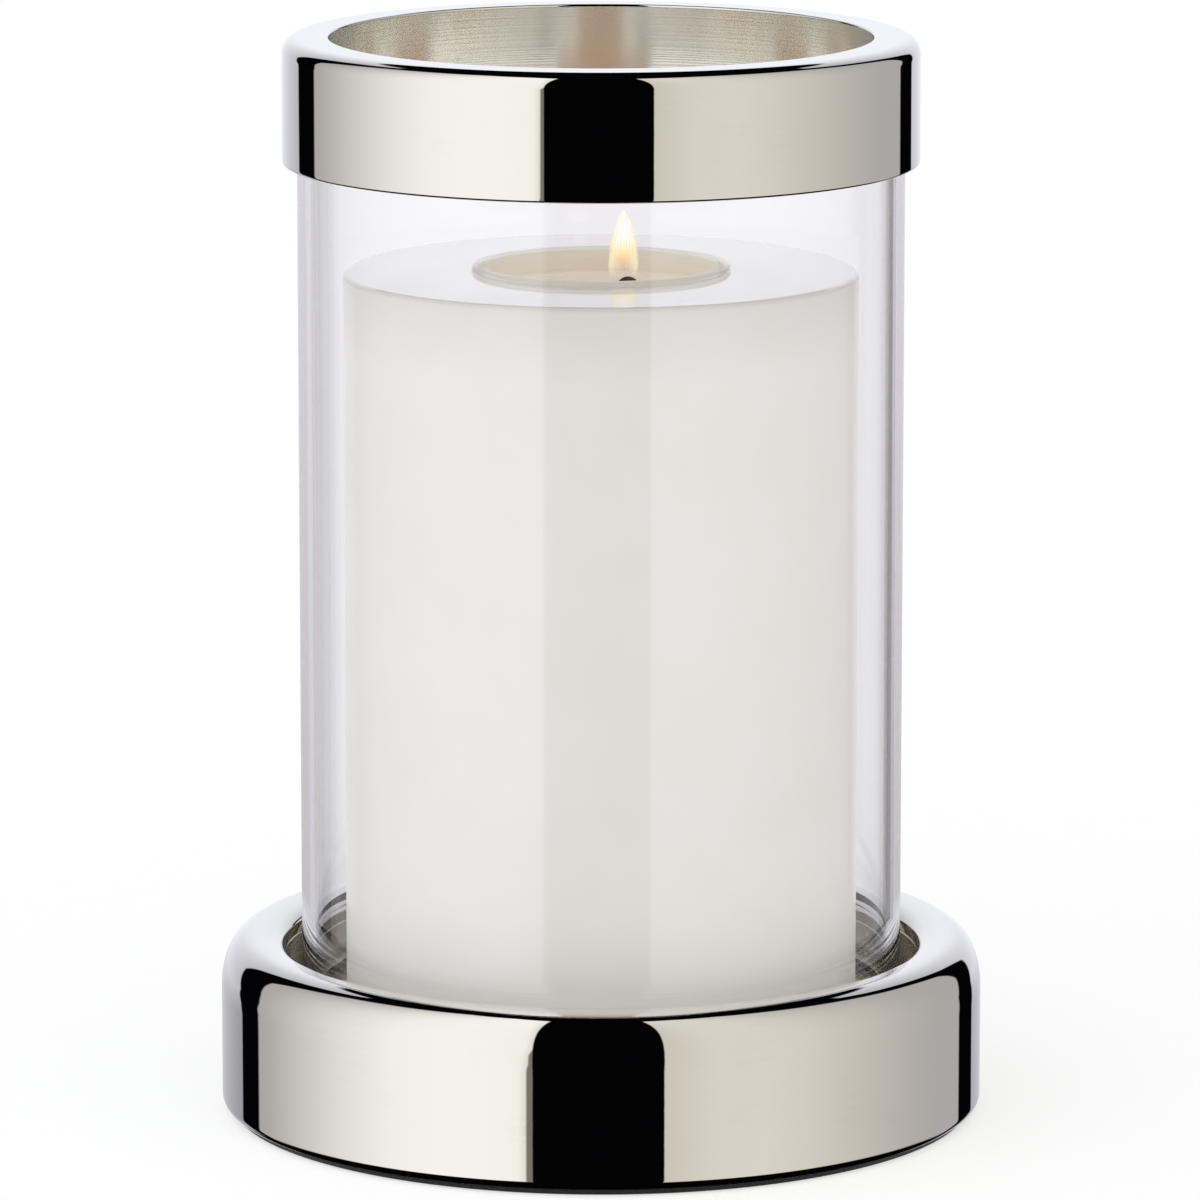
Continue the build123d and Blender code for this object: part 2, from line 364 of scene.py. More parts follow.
# %% Group: handling marks
marks, mark_in, mark_out = new_group(
    "handling marks",
    [("Clean roughness", FLOAT, 0.03), ("Hazy roughness", FLOAT, 0.09), ("Size", FLOAT, 60.0)],
    [("Roughness", FLOAT), ("Haze", FLOAT), ("Height", FLOAT)],
)
mark_place = own_place(marks)
mark_clouds = add(marks, "ShaderNodeTexNoise",
                  {"Vector": mark_place, "Scale": mark_in["Size"], "Detail": 5.0, "Roughness": 0.6})
mark_wipes_place = add(marks, "ShaderNodeMapping", {"Vector": mark_place, "Scale": (1.0, 1.0, 9.0),
                                                   "Rotation": (0.5, 0.2, 0.0)}).outputs[0]
mark_wipes = add(marks, "ShaderNodeTexNoise",
                 {"Vector": mark_wipes_place, "Scale": 140.0, "Detail": 3.0, "Roughness": 0.7})
mark_haze = calc(marks, "MULTIPLY", remap(marks, mark_clouds.outputs[0], 0.48, 0.72, smooth=True),
                 remap(marks, mark_wipes.outputs[0], 0.35, 0.65))
marks.links.new(remap(marks, mark_haze, 0, 1, mark_in["Clean roughness"], mark_in["Hazy roughness"]),
                mark_out["Roughness"])
marks.links.new(mark_haze, mark_out["Haze"])
marks.links.new(mark_clouds.outputs[0], mark_out["Height"])
print("group:", marks.name)

# %% [markdown]
# ## Polished nickel
#
# The base and the ring are brass with a nickel plate, polished to a mirror. A mirror has hardly any
# colour of its own: it shows the room. What makes it nickel is a slight warmth, a very low
# roughness, and a surface that is not perfectly flat, which the faint bump gives.

# %% Material: polished nickel
def polished_nickel():
    """Mirror nickel: warm grey metal, a little duller and darker where it was handled."""
    material, tree, output = new_material("polished nickel")
    finish = use_group(tree, marks, {"Clean roughness": 0.012, "Hazy roughness": 0.035})
    colour = blend_colours(tree, finish["Haze"], (0.78, 0.765, 0.735, 1), (0.75, 0.735, 0.70, 1))
    end_in(tree, output, PRINCIPLED,
           {"Base Color": colour, "Metallic": 1.0, "Roughness": finish["Roughness"],
            "Normal": bump(tree, finish["Height"], 0.01, 0.4 * mm)})
    return material


nickel = polished_nickel()

# %% [markdown]
# ## Spun satin metal
#
# The inside of the ring and the dish in the base are not polished: the tool that shaped them left
# fine lines round them, and a rag left streaks up and down. One group makes both: the lines are
# noise on the distance from the axis and on the height, the streaks are noise stretched upwards.

# %% Group: spun lines
spun, spun_in, spun_out = new_group(
    "spun lines",
    [("Line size", FLOAT, 2500.0), ("Streak size", FLOAT, 220.0)],
    [("Lines", FLOAT), ("Streaks", FLOAT), ("Patches", FLOAT)],
)
spun_place = own_place(spun)
spun_parts = add(spun, "ShaderNodeSeparateXYZ", {0: spun_place}).outputs
spun_flat = add(spun, "ShaderNodeCombineXYZ", {0: spun_parts[0], 1: spun_parts[1]}).outputs[0]
spun_reach = add(spun, "ShaderNodeVectorMath", {0: spun_flat}, operation="LENGTH").outputs["Value"]
spun_line_place = add(spun, "ShaderNodeCombineXYZ", {0: spun_reach, 1: 0.0, 2: spun_parts[2]}).outputs[0]
spun_lines = add(spun, "ShaderNodeTexNoise",
                 {"Vector": spun_line_place, "Scale": spun_in["Line size"], "Detail": 3.0})
spun_streak_place = add(spun, "ShaderNodeMapping",
                        {"Vector": spun_place, "Scale": (1, 1, 0.06)}).outputs[0]
spun_streaks = add(spun, "ShaderNodeTexNoise",
                   {"Vector": spun_streak_place, "Scale": spun_in["Streak size"], "Detail": 4.0,
                    "Roughness": 0.65})
spun_patches = add(spun, "ShaderNodeTexNoise", {"Vector": spun_place, "Scale": 45.0, "Detail": 4.0})
spun.links.new(spun_lines.outputs[0], spun_out["Lines"])
spun.links.new(spun_streaks.outputs[0], spun_out["Streaks"])
spun.links.new(spun_patches.outputs[0], spun_out["Patches"])
print("group:", spun.name)


# %% Material: satin nickel
def satin_nickel(name, light, dark, metal, smooth, rough, relief):
    """Spun metal between two colours, its gloss broken up by the lines and the streaks."""
    material, tree, output = new_material(name)
    finish = use_group(tree, spun)
    mixed = calc(tree, "ADD", calc(tree, "MULTIPLY", finish["Streaks"], 0.6),
                 calc(tree, "MULTIPLY", finish["Patches"], 0.4))
    colour = blend_colours(tree, remap(tree, mixed, 0.35, 0.65), dark, light)
    gloss = remap(tree, mixed, 0.3, 0.7, rough, smooth)
    end_in(tree, output, PRINCIPLED,
           {"Base Color": colour, "Metallic": metal, "Roughness": gloss,
            "Normal": bump(tree, finish["Lines"], relief, 0.5 * mm)})
    return material


ring_satin = satin_nickel("satin nickel inside the ring", (0.87, 0.85, 0.79, 1), (0.80, 0.78, 0.71, 1),
                          metal=0.82, smooth=0.09, rough=0.14, relief=0.035)
tray_satin = satin_nickel("satin nickel tray", (0.72, 0.68, 0.58, 1), (0.44, 0.39, 0.30, 1),
                          metal=0.85, smooth=0.12, rough=0.26, relief=0.05)

# %% [markdown]
# ## Clear glass and clear plastic
#
# Glass bends light, mirrors a little of it, and tints it at the thick edges. Light has to reach
# the candle inside, so for shadow rays and for scattered light the glass is simply see-through.
# The Light Path node tells the rays apart.

# %% Material: clear glass
def clear_material(name, colour, ior, roughness, clear=1.0, coat=0.0):
    """Clear glass or plastic that lets shadow rays and scattered light pass straight through."""
    material, tree, output = new_material(name)
    finish = use_group(tree, marks, {"Clean roughness": roughness, "Hazy roughness": roughness + 0.02,
                                     "Size": 35.0})
    shader = add(tree, PRINCIPLED,
                 {"Base Color": colour, "Roughness": finish["Roughness"], "IOR": ior,
                  "Transmission Weight": clear, "Coat Weight": coat, "Coat Roughness": 0.03})
    path = add(tree, "ShaderNodeLightPath").outputs
    passes = calc(tree, "MAXIMUM", path["Is Shadow Ray"], path["Is Diffuse Ray"])
    through = add(tree, "ShaderNodeBsdfTransparent", {0: (0.985, 0.985, 0.985, 1)})
    end_in(tree, output, "ShaderNodeMixShader",
           {0: passes, 1: shader.outputs[0], 2: through.outputs[0]})
    return material


glass = clear_material("clear glass", (0.985, 0.982, 0.997, 1), 1.5, 0.0)
plastic = clear_material("clear plastic", (0.99, 0.98, 0.955, 1), 1.04, 0.08, clear=0.60, coat=0.10)
silicone = clear_material("clear silicone", (0.93, 0.93, 0.92, 1), 1.41, 0.18)

# %% [markdown]
# ## Wax
#
# Paraffin wax is a little translucent and has a soft shine. Its colour is never quite even, because
# it is cloudy inside. The candle and the wax in the refill cup share a group.
#
# Light wanders about inside wax and comes out again. A faint glow of painted light stands for it: less
# near a top edge, a painted shade there, and more at the foot, painted light from the bright tray.

# %% Group: cloudy wax
clouds, cloud_in, cloud_out = new_group(
    "cloudy wax",
    [("Light", COLOUR, (0.8, 0.8, 0.8, 1)), ("Deep", COLOUR, (0.7, 0.7, 0.7, 1)), ("Size", FLOAT, 60.0)],
    [("Color", COLOUR), ("Roughness", FLOAT), ("Height", FLOAT)],
)
cloud_place = own_place(clouds)
cloud_wide = add(clouds, "ShaderNodeTexNoise",
                 {"Vector": cloud_place, "Scale": cloud_in["Size"], "Detail": 6.0, "Roughness": 0.6})
cloud_fine = add(clouds, "ShaderNodeTexNoise", {"Vector": cloud_place, "Scale": 900.0, "Detail": 3.0})
clouds.links.new(
    blend_colours(clouds, remap(clouds, cloud_wide.outputs[0], 0.35, 0.65, smooth=True),
                  cloud_in["Deep"], cloud_in["Light"]), cloud_out["Color"])
clouds.links.new(remap(clouds, cloud_wide.outputs[0], 0.3, 0.7, 0.26, 0.18), cloud_out["Roughness"])
clouds.links.new(calc(clouds, "ADD", cloud_wide.outputs[0],
                      calc(clouds, "MULTIPLY", cloud_fine.outputs[0], 0.04)), cloud_out["Height"])
print("group:", clouds.name)


# %% Material: wax
# The wax's glow is painted light. It is painted weaker under a top edge, a painted shade, and the tray's
# painted light is added at the foot.
edge_depth = 14 * mm           # how far below a top edge the glow starts to fall
painted_edge_shade_share = 0.45              # what is left of it at the edge
foot_low, foot_high = 30 * mm, 62 * mm     # heights between which the light from the tray fades
painted_foot_light = 0.13


def wax_material(name, light, deep, ior, coat, glow, edge=None):
    """Cloudy wax between two colours, with a thin glossy skin and a glow that is painted light, for a
    pillar up to edge.
    """
    material, tree, output = new_material(name)
    finish = use_group(tree, clouds, {"Light": light, "Deep": deep})
    if edge:
        height = own_height(tree)
        # Painted light at the foot, and painted shade below the top edge.
        glow = calc(tree, "ADD", remap(tree, height, foot_low, foot_high, painted_foot_light, 0.0),
                    remap(tree, height, edge - edge_depth, edge, glow, glow * painted_edge_shade_share))
    end_in(tree, output, PRINCIPLED,
           {"Base Color": finish["Color"], "Roughness": finish["Roughness"], "IOR": ior,
            "Coat Weight": coat, "Coat Roughness": 0.04,
            "Normal": bump(tree, finish["Height"], 0.05, 1.0 * mm),
            "Emission Color": finish["Color"], "Emission Strength": glow})
    return material


ivory_wax = wax_material("ivory wax", rgb(222, 220, 215), rgb(220, 218, 212),
                         ior=1.40, coat=0.0, glow=0.20, edge=candle_top)
melted_wax = wax_material("melted ivory wax", rgb(222, 220, 214), rgb(219, 217, 210),
                          ior=1.44, coat=1.0, glow=0.20)
lamp_wax = wax_material("lamp wax", rgb(233, 224, 210), rgb(228, 218, 202),
                        ior=1.25, coat=0.0, glow=0.16)

# %% [markdown]
# ## Felt, board, steel and the burnt wick
#
# Small plain finishes. Felt is a mat of fibres: rough, dark and slightly fuzzy at a grazing look.

# %% Materials: felt, board, steel, char
def grainy_material(name, light, deep, scale, roughness, metallic=0.0, sheen=0.0, depth=0.5 * mm):
    """A finish whose colour and height follow one fine noise pattern."""
    material, tree, output = new_material(name)
    grain = add(tree, "ShaderNodeTexNoise", {"Vector": own_place(tree), "Scale": scale, "Detail": 6.0,
                                             "Roughness": 0.7}).outputs[0]
    end_in(tree, output, PRINCIPLED,
           {"Base Color": blend_colours(tree, remap(tree, grain, 0.35, 0.65), deep, light),
            "Roughness": remap(tree, grain, 0.3, 0.7, roughness, roughness * 0.85),
            "Metallic": metallic, "Sheen Weight": sheen, "Normal": bump(tree, grain, 0.5, depth)})
    return material


felt = grainy_material("black felt", (0.020, 0.020, 0.021, 1), (0.008, 0.008, 0.009, 1), 1800.0, 0.95,
                       sheen=0.25)
board = grainy_material("cover board", (0.20, 0.13, 0.08, 1), (0.12, 0.08, 0.05, 1), 700.0, 0.8)
steel = grainy_material("screw steel", (0.55, 0.55, 0.56, 1), (0.42, 0.42, 0.43, 1), 900.0, 0.35,
                        metallic=1.0, depth=0.1 * mm)
char = grainy_material("burnt wick", (0.030, 0.024, 0.020, 1), (0.004, 0.004, 0.004, 1), 2600.0, 0.9)

# %% [markdown]
# ## The base
#
# A deep-drawn metal shell: a straight wall on a small rounded foot, a full shoulder that turns over
# to the crest, and a lip that falls away to the edge of the recess. The shoulder is one Bezier
# curve, because an ellipse is too slack for it and a circle too tight.

# %% Base shell
wall_top = base_top - shoulder_drop
base_outline = np.vstack((
    draw((cavity_radius, base_bottom), (base_radius - foot_round, base_bottom, 4),
         (foot_round, -90, 0, 24), (base_radius, wall_top, 10)),
    bezier((base_radius, wall_top), (base_radius, base_top - shoulder_drop * (1 - wall_fullness)),
           (crest_radius + crest_fullness * shoulder_width, base_top), (crest_radius, base_top), 72),
    bend((crest_radius, lip_height), lip_width, lip_drop, 90, 180, 28),
    draw((recess_radius, lip_height), (recess_radius, land_bottom, 6),
         (cavity_radius - cavity_round, land_bottom, 4), (cavity_round, 90, 0, 6),
         (cavity_radius, base_bottom, 4)),
))
finish_with(lathe("base_shell_polished", base_outline), "base", "polished_nickel", [nickel],
            "base_shell")

# %% [markdown]
# ## The tray
#
# A spun dish lines the recess. Its wall shows between the glass and the lip of the base, and its
# floor carries the glass and the candle.

# %% Recess tray
tray_outer = recess_radius + tray_wall
tray_under = tray_floor - tray_wall
flange_under = land_bottom - tray_wall
tray_outline = draw(
    (0, tray_under), (recess_radius - tray_cove, tray_under, 6),
    (tray_cove + tray_wall, -90, 0, 10), (tray_outer, flange_under, 4),
    (tray_outer + tray_flange, flange_under, 4), (tray_outer + tray_flange, land_bottom, 3),
    (recess_radius + tray_lip_round, land_bottom, 4), (tray_lip_round, 90, 180, 12),
    (recess_radius, tray_floor + tray_cove, 10), (tray_cove, 0, -90, 16), (0, tray_floor, 24))
finish_with(lathe("recess_tray_satin", tray_outline), "base", "brushed_nickel", [tray_satin],
            "recess_tray")

# %% [markdown]
# ## The pieces under the base and under the glass
#
# A felt disc keeps the metal off the table, and a clear ring pad keeps the glass off the metal.

# %% Foot pad and glass pad
def slab_outline(inner, outer, bottom, top, edge):
    """A flat ring or disc with rounded outer edges. An inner radius of 0 makes a disc."""
    count = 4 if inner else 12
    closing = [(inner, bottom, 3)] if inner else []
    return draw((inner, bottom), (outer - edge, bottom, count), (edge, -90, 0, 8),
                (outer, top - edge, 3), (edge, 0, 90, 8), (inner, top, count), *closing)


felt_outline = slab_outline(0, felt_radius, felt_bottom, felt_top, edge=0.3 * mm)
finish_with(lathe("foot_felt", felt_outline, FEWER), "base", "black_felt", [felt], "foot_pad")
pad_outline = slab_outline(glass_bore - pad_reach, pad_radius, tray_floor, pad_top, edge=0.2 * mm)
finish_with(lathe("glass_rest_pad", pad_outline, FEWER), "base", "clear_silicone", [silicone],
            "glass_pad")

# %% [markdown]
# ## The glass cylinder
#
# A tube of clear glass whose two ends were softened in a flame, which leaves them round.

# %% Glass
flat_in, flat_out = glass_bore + glass_polish, glass_radius - glass_polish
glass_outline = draw(
    (flat_in, glass_bottom), (flat_out, glass_bottom, 2), (glass_polish, -90, 0, 14),
    (glass_radius, glass_top - glass_polish, 16), (glass_polish, 0, 90, 14),
    (flat_in, glass_top, 2), (glass_polish, 90, 180, 14),
    (glass_bore, glass_bottom + glass_polish, 16), (glass_polish, 180, 270, 14))
finish_with(lathe("glass_tube", glass_outline), "glass", "clear_glass", [glass], "glass_cylinder")

# %% [markdown]
# ## The top ring
#
# A channel bent round: polished outside and on top, satin inside the mouth, and open below, where
# it drops over the end of the glass. The face's place in the outline says which finish it gets.

# %% Top ring
channel_top = gasket_high.z
channel_inner, channel_outer = ring_hole + ring_wall, ring_radius - ring_wall
ring_outside = draw(
    (channel_outer + ring_hem_round, ring_bottom), (ring_radius - ring_hem_round, ring_bottom, 3),
    (ring_hem_round, -90, 0, 10), (ring_radius, ring_top - ring_shoulder, 12),
    (ring_shoulder, 0, 90, 40), (ring_hole + ring_mouth_round, ring_top, 10),
    (ring_mouth_round, 90, 180, 16))
ring_inside = draw(
    (ring_hole, ring_top - ring_mouth_round), (ring_hole, ring_bottom + ring_hem_round, 12),
    (ring_hem_round, 180, 270, 10), (channel_inner - ring_hem_round, ring_bottom, 3),
    (ring_hem_round, -90, 0, 8), (channel_inner, channel_top, 6),
    (ring_radius - ring_shoulder, channel_top, 4), (ring_shoulder - ring_wall, 90, 0, 6),
    (channel_outer, ring_bottom + ring_hem_round, 6), (ring_hem_round, 180, 270, 8))
ring = lathe("top_ring_polished", np.vstack((ring_outside, ring_inside)))
satin_faces = np.arange(len(ring.data.polygons)) >= len(ring_outside) * AROUND
ring.data.polygons.foreach_set("material_index", satin_faces.astype(np.int32))
finish_with(ring, "ring", "polished_nickel", [nickel, ring_satin], "top_ring")

# %% [markdown]
# ## The gasket
#
# A clear soft cap sits in the channel over the end of the glass, so that metal never meets glass.

# %% Ring gasket
gasket_radius, leg_bottom = gasket_high.x, gasket_low.z
web_bottom = glass_top + seat_gap
leg_inner, leg_outer = glass_bore - gasket_gap, glass_radius + gasket_gap
leg_edge = leg_inner - gasket_leg_width
gasket_outline = draw(
    (leg_edge, channel_top), (leg_edge, leg_bottom, 3), (leg_inner, leg_bottom, 3),
    (leg_inner, web_bottom, 3), (leg_outer, web_bottom, 3), (leg_outer, leg_bottom, 3),
    (gasket_radius, leg_bottom, 3), (gasket_radius, channel_top - ring_shoulder + ring_wall, 3),
    (ring_radius - ring_shoulder, channel_top, 3), (leg_edge, channel_top, 3))
finish_with(lathe("ring_gasket_soft", gasket_outline, FEWER), "ring", "clear_silicone", [silicone],
            "ring_gasket")

# %% [markdown]
# ## The candle
#
# A straight pillar with a small round at its edges and a socket in its top for the refill cup. The
# top has melted and set again, so it is glossier than the side.

# %% Candle
socket_radius = cup_radius + socket_gap
socket_floor = cup_bottom - seat_gap
candle_outline = draw(
    (0, candle_bottom), (candle_radius - candle_round, candle_bottom, 12),
    (candle_round, -90, 0, 12), (candle_radius, candle_top - candle_round, 24),
    (candle_round, 0, 90, 16), (socket_radius + socket_chamfer, candle_top, 16),
    (socket_radius, candle_top - socket_chamfer, 4), (socket_radius, socket_floor, 8),
    (0, socket_floor, 8))
candle = lathe("candle_pillar", candle_outline)
melt_depth = 0.3 * candle_round
top_rows = (candle_outline[1:-1, 1] > candle_top - melt_depth).nonzero()[0]
melted = np.zeros(len(candle.data.polygons), np.int32)
melted[top_rows[0] * AROUND:top_rows[-1] * AROUND] = 1
candle.data.polygons.foreach_set("material_index", melted)
finish_with(candle, "candle", "ivory_wax", [ivory_wax, melted_wax], "candle_body")

# %% [markdown]
# ## The refill cup, its wax and the wick
#
# The refill is a thin clear cup with a flange that hangs on the candle's top. The wax in it climbs
# the wall a little, and the wax is drawn a hair into the wall, so no air shows between the two.

# %% Refill cup
flange_round = 0.8 * cup_flange_height
rim_round = 0.4 * cup_wall
bowl_round = cup_corner - cup_wall
flange_bottom = cup_rim - cup_flange_height
cup_outline = draw(
    (0, cup_bottom), (cup_radius - cup_corner, cup_bottom, 6), (cup_corner, -90, 0, 10),
    (cup_radius, flange_bottom, 8), (flange_radius, flange_bottom, 4),
    (flange_radius, cup_rim - flange_round, 3), (flange_round, 0, 90, 12),
    (cup_bore + rim_round, cup_rim, 4), (rim_round, 90, 180, 10),
    (cup_bore, cup_floor + bowl_round, 10), (bowl_round, 0, -90, 8), (0, cup_floor, 6))
finish_with(lathe("refill_cup_clear", cup_outline, FEWER), "refill", "clear_plastic", [plastic],
            "refill_cup")

# %% Wax in the cup
wax_grip = 0.1 * mm            # how far the wax is drawn into the wall
wax_radius, wax_bottom = cup_bore + wax_grip, cup_floor - wax_grip
wax_outline = draw(
    (0, wax_bottom), (cup_bore - bowl_round, wax_bottom, 5), (bowl_round + wax_grip, -90, 0, 8),
    (wax_radius, wax_edge, 6), (cup_bore, wax_edge, 2), (meniscus, 0, -90, 12), (0, wax_top, 24))
finish_with(lathe("refill_wax", wax_outline, FEWER), "refill", "lamp_wax", [lamp_wax], "cup_wax")

# %% Wax film
# The wax stood higher once and left a film on the cup's wall. Its lamp wax glow is painted light,
# which lightens the wall above the wax where it lies in shade.
film = 0.12 * mm
film_back, film_bottom = cup_bore + film / 2, wax_edge - film
film_outline = draw((film_back, film_bottom), (film_back, cup_rim - rim_round, 6),
                    (cup_bore - film, film_bottom, 6), (film_back, film_bottom, 2))
finish_with(lathe("wax_film", film_outline, FEWER), "refill", None, [lamp_wax])

# %% Wick
wick_low, wick_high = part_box("wick")
wick_place = wick_low.x + wick_radius
wick_depth = (wick_low.y + wick_high.y) / 2
stem_top = wax_top + wick_rise


def tube(name, path, radii, around=20):
    """A round tube along a path that keeps its Y, closed in a point at both ends.

    Each ring of points turns about the path's direction: offset = radius (side cos a + level sin a).
    """
    ahead = np.gradient(path, axis=0)
    ahead /= np.linalg.norm(ahead, axis=1)[:, None]
    level = np.array([0, 1, 0])
    side = np.cross(ahead, level)
    a = (np.arange(around) * tau / around)[None, :, None]
    rings = path[:, None, :] + radii[:, None, None] * (side[:, None, :] * np.cos(a) + level * np.sin(a))
    points = np.vstack((rings.reshape(-1, 3), path[:1], path[-1:]))
    faces = grid_faces(len(path), around, wrap=False).tolist()
    faces += close_ends(len(path), around, len(points) - 2, len(points) - 1)
    return new_piece(name, points, [face[::-1] for face in faces])


curl = np.radians(np.linspace(180, 30, 26))
wick_path = np.array(
    [(wick_place, wick_depth, z) for z in np.linspace(cup_floor, stem_top, 30)]
    + [(wick_place + wick_bend * (1 + np.cos(a)), wick_depth, stem_top + wick_bend * np.sin(a))
       for a in curl[1:]])
fray = 1 - 0.10 * np.sin(np.arange(len(wick_path)) * 2.1) ** 2
fray[-3:] *= (0.8, 0.6, 0.35)
finish_with(tube("wick_burnt", wick_path, wick_radius * fray), "refill", "burnt_wick", [char], "wick")

# %% [markdown]
# ## The flame
#
# A candle flame is a thin teardrop of glowing gas: nearly clear at the wick, orange at its core and
# pale yellow at the tip. It is drawn as a soft body with a core inside and a veil round it. None of
# them has a CAD node. Their colours and how much they cover follow the height alone.

# %% Flame: material
flame_height = 13.1 * mm
flame_above_rim = 10.2 * mm    # the tip above the cup's rim
flame_bottom = cup_rim + flame_above_rim - flame_height
flame_lean, flame_sway = 0.6 * mm, 0.1 * mm       # its axis beside the wick's foot, and its bulge


def ramp(tree, share, stops):
    """A colour that runs through the stops, which are (place from 0 to 1, (red, green, blue))."""
    node = add(tree, "ShaderNodeValToRGB", {0: share})
    for _ in stops[2:]:
        node.color_ramp.elements.new(0.5)
    for element, (place, colour) in zip(node.color_ramp.elements, stops):
        element.position = place
        element.color = (*colour, 1)
    return node.outputs[0]


def flame_material(name, strength, colours, covers):
    """Glowing gas, from stops of (share of the flame's height, colour) and of (share, cover)."""
    material, tree, output = new_material(name)
    share = remap(tree, own_height(tree), flame_bottom, flame_bottom + flame_height)
    cover = ramp(tree, share, [(at, (value,) * 3) for at, value in covers])
    end_in(tree, output, PRINCIPLED,
           {"Base Color": (0, 0, 0, 1), "Roughness": 1.0, "Specular IOR Level": 0.0,
            "Emission Color": ramp(tree, share, colours), "Emission Strength": strength,
            "Alpha": calc(tree, "MULTIPLY", cover, 1.0)})
    return material


veil_glow = flame_material(
    "flame veil", 1.05,
    [(0.0, (1.0, 0.80, 0.55)), (0.25, (1.0, 0.88, 0.52)), (0.6, (1.0, 0.90, 0.55)),
     (1.0, (1.0, 0.96, 0.72))],
    [(0.0, 0.0), (0.08, 0.05), (0.22, 0.32), (0.6, 0.36), (1.0, 0.25)])
body_glow = flame_material(
    "flame body", 1.1,
    [(0.0, (0.90, 0.78, 0.66)), (0.27, (0.95, 0.78, 0.58)), (0.38, (1.0, 0.86, 0.52)),
     (0.47, (1.0, 0.93, 0.62)), (0.56, (1.0, 0.98, 0.88)), (0.68, (0.98, 0.97, 1.0)),
     (1.0, (1.0, 0.99, 0.88))],
    [(0.0, 0.0), (0.14, 0.03), (0.26, 0.14), (0.36, 0.45), (0.48, 0.80), (0.9, 0.85), (1.0, 0.4)])
core_glow = flame_material(
    "flame core", 1.1,
    [(0.0, (0.70, 0.45, 0.30)), (0.24, (0.88, 0.52, 0.26)), (0.34, (0.98, 0.60, 0.22)),
     (0.44, (1.0, 0.78, 0.30)), (0.54, (1.0, 0.92, 0.55))],
    [(0.0, 0.0), (0.16, 0.0), (0.25, 0.35), (0.33, 0.78), (0.44, 0.72), (0.60, 0.0)])

# %% Flame: shape
FLAME_POINTS = 48              # heights at which the flame's shape is known
SHELL_POINTS = 40              # points along a shell inside it
FIN_POINTS = 5                 # points across a fin of the veil
flame_share = np.linspace(0, 1, FLAME_POINTS)
flame_x = wick_place + flame_lean + flame_sway * np.sin(flame_share * 2.2)
flame_z = flame_bottom + flame_share * flame_height
flame_reach = mm * np.interp(flame_share, (0, 0.07, 0.21, 0.42, 0.55, 0.68, 0.78, 0.87, 0.94, 1),
                             (2.2, 2.65, 2.80, 2.54, 2.32, 1.98, 1.62, 1.16, 0.72, 0.05))


def flame_shell(name, share, inner, outer, material):
    """A closed tube inside the flame, from the share inner to the share outer of its height.

    Its radius is a share of the flame's, and falls with sin of the place near both ends.
    """
    t = np.linspace(inner, outer, SHELL_POINTS)
    x, z, reach = (np.interp(t, flame_share, v) for v in (flame_x, flame_z, flame_reach))
    path = np.column_stack((x, np.full(SHELL_POINTS, wick_depth), z))
    ends = np.sin(pi * np.linspace(0, 1, SHELL_POINTS)) ** 0.5
    piece = tube(name, path, np.maximum(share * reach * np.minimum(ends * 1.3, 1), 0.01 * mm), 32)
    finish_with(piece, "refill", None, [material])


def flame_veil(name, fins, inner, material):
    """Thin upright fins round the flame's axis, from the share inner of its radius to the whole.

    From any side the fins at the edge are seen face on and cover each other, and those in the
    middle are seen edge on, so the rim glows.
    """
    a = (np.arange(fins) * tau / fins)[:, None, None]
    r = np.linspace(inner, 1, FIN_POINTS) * flame_reach[None, :, None]
    x = flame_x[None, :, None] + r * np.cos(a)
    y = wick_depth + r * np.sin(a)
    points = np.stack((x, y, flame_z[None, :, None] + 0 * x), axis=-1)
    one = np.arange(FLAME_POINTS * FIN_POINTS).reshape(FLAME_POINTS, FIN_POINTS)
    quads = np.stack((one[:-1, :-1], one[:-1, 1:], one[1:, 1:], one[1:, :-1]), axis=-1).reshape(-1, 4)
    faces = (quads[None] + np.arange(fins)[:, None, None] * one.size).reshape(-1, 4)
    finish_with(new_piece(name, points.reshape(-1, 3), faces), "refill", None, [material])


flame_shell("flame_body", 0.86, 0.06, 1.0, body_glow)
flame_shell("flame_core", 0.48, 0.14, 0.60, core_glow)
flame_veil("flame_veil", 24, 0.72, veil_glow)

# %% [markdown]
# ## Pieces that keep their CAD shape
#
# The cover board, its screws and the wick's tab are plain turned or cut parts that sit inside or
# below. Their CAD meshes are right as they are and only get a material.

# %% CAD nodes with a new material
for node, material in (("base_cover", board), ("cover_screws", steel), ("wick_tab", steel)):
    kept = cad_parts[node]
    kept.data.materials.clear()
    kept.data.materials.append(material)
    print("kept", node)

# %% [markdown]
# ## Floor, light and camera
#
# The lantern stands on a pale floor. A mirror shows what stands round it, so the studio matters as
# much as the metal: two tall white panels left and right with black gaps between and behind them,
# and a pale backdrop. It is painted into the world by direction. Each ray asks for its own part:
# the camera sees plain white, matt surfaces get an even soft light, and metal and glass see the
# panels.

# %% Floor
floor_half = 3.0
floor_depth = 0.1 * mm         # below the felt, so that the two faces don't share a plane


def floor_material():
    """Pale floor that mirrors and glass look through, so that they show the studio's panels."""
    material, tree, output = new_material("floor")
    pale = add(tree, "ShaderNodeBsdfDiffuse", {0: (0.60, 0.60, 0.60, 1)})
    glow = add(tree, "ShaderNodeEmission", {0: (1, 1, 1, 1), 1: 0.55})
    lit = add(tree, "ShaderNodeAddShader", {0: pale.outputs[0], 1: glow.outputs[0]})
    clear = add(tree, "ShaderNodeBsdfTransparent")
    path = add(tree, "ShaderNodeLightPath").outputs
    looks_through = calc(tree, "MAXIMUM", path["Is Glossy Ray"], path["Is Transmission Ray"])
    end_in(tree, output, "ShaderNodeMixShader",
           {0: looks_through, 1: lit.outputs[0], 2: clear.outputs[0]})
    return material


floor_corners = np.array([(x * floor_half, y * floor_half, -floor_depth)
                          for x, y in ((-1, -1), (1, -1), (1, 1), (-1, 1))])
floor = new_piece("floor", floor_corners, [(0, 1, 2, 3)])
floor.data.materials.append(floor_material())

